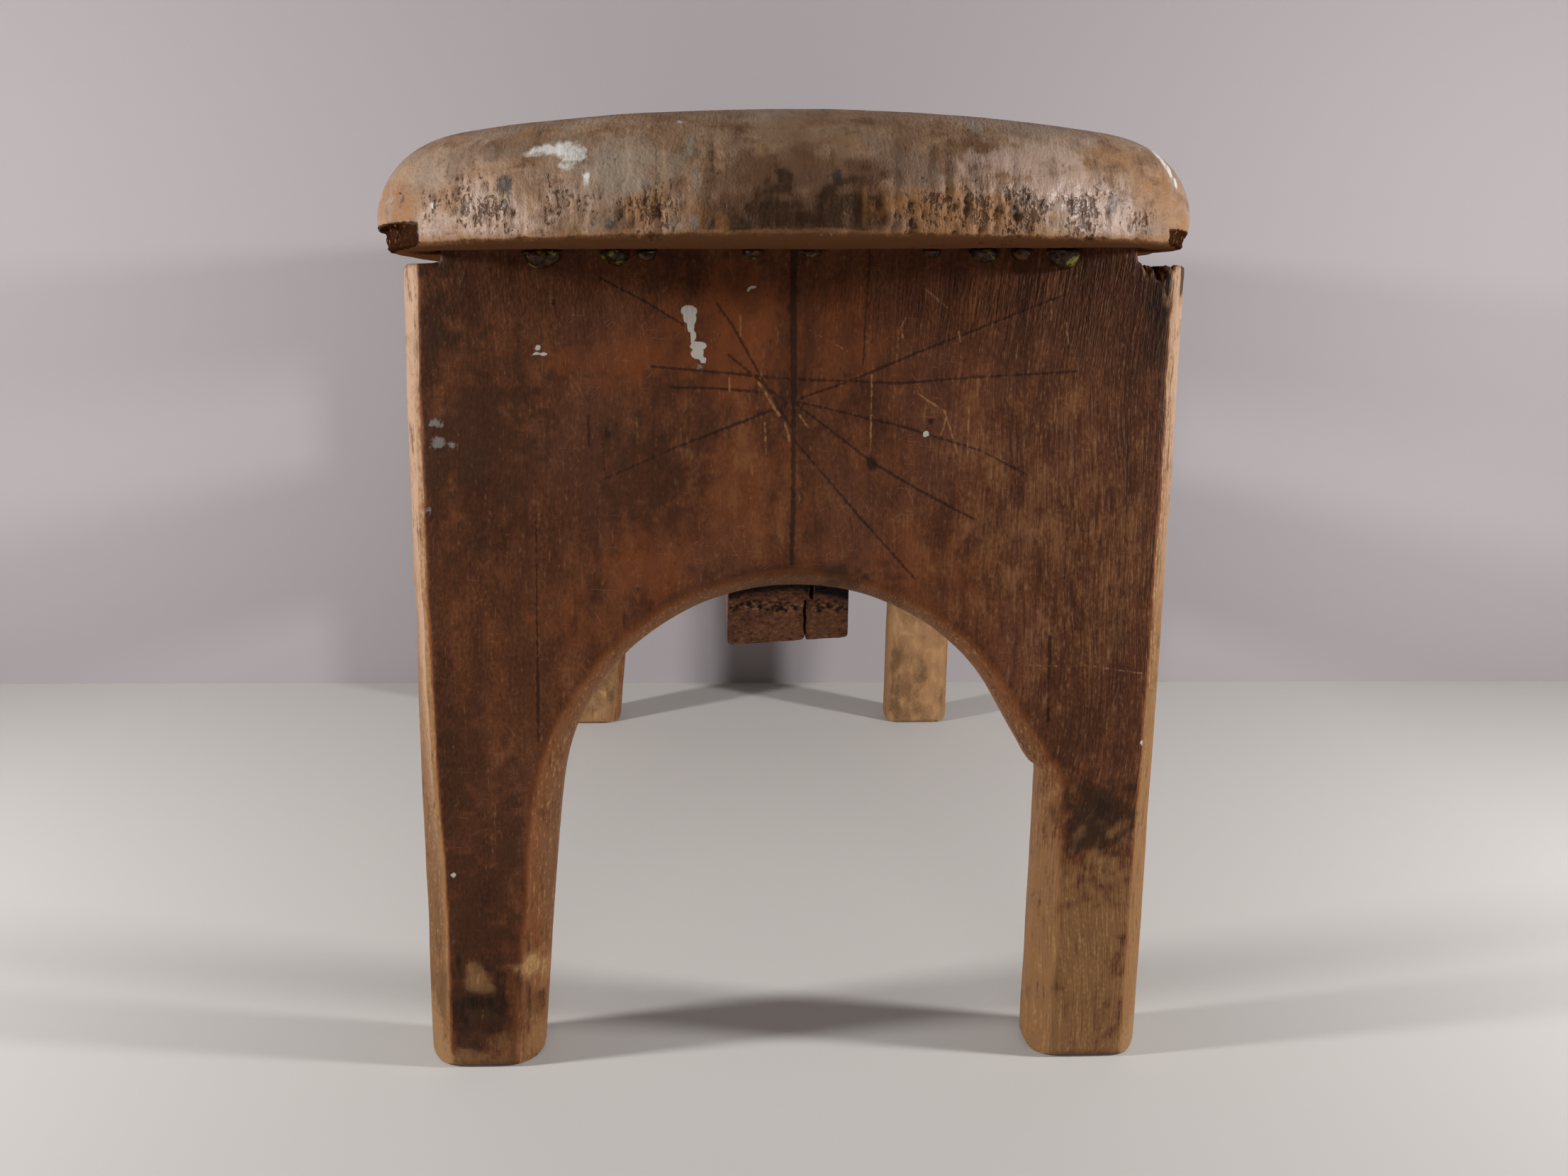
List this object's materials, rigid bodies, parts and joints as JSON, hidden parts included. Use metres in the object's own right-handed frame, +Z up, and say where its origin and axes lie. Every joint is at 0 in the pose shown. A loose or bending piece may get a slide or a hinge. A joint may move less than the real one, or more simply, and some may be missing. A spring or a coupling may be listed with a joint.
{
  "type": "wooden stool",
  "caption": "Low wooden stool: a thick slab seat with bowed ends is housed on arched end boards that a rail ties together under the seat.",
  "frame": {"origin": "on the floor, under the middle of the seat", "axes": "+Z up, +Y along the seat from its front end (the broken corners and glue beads) to its rear end, +X to the right seen from the front end"},
  "size_m": [0.241, 0.508, 0.2923],
  "materials": {
    "seat_wood": "weathered grey-brown, worn smooth on top and pitted on the end grain",
    "board_wood": "dark reddish brown stain, worn to tan on the chamfers and feet",
    "rail_wood": "bare, darkened, rough on the end grain",
    "old_glue": "hardened glue, dark and glossy with a yellow-green core"
  },
  "bodies": {
    "root": {"seat": "seat_wood", "front_board": "board_wood", "rear_board": "board_wood", "rail": "rail_wood", "glue_beads": "old_glue"}
  },
  "joints": []
}
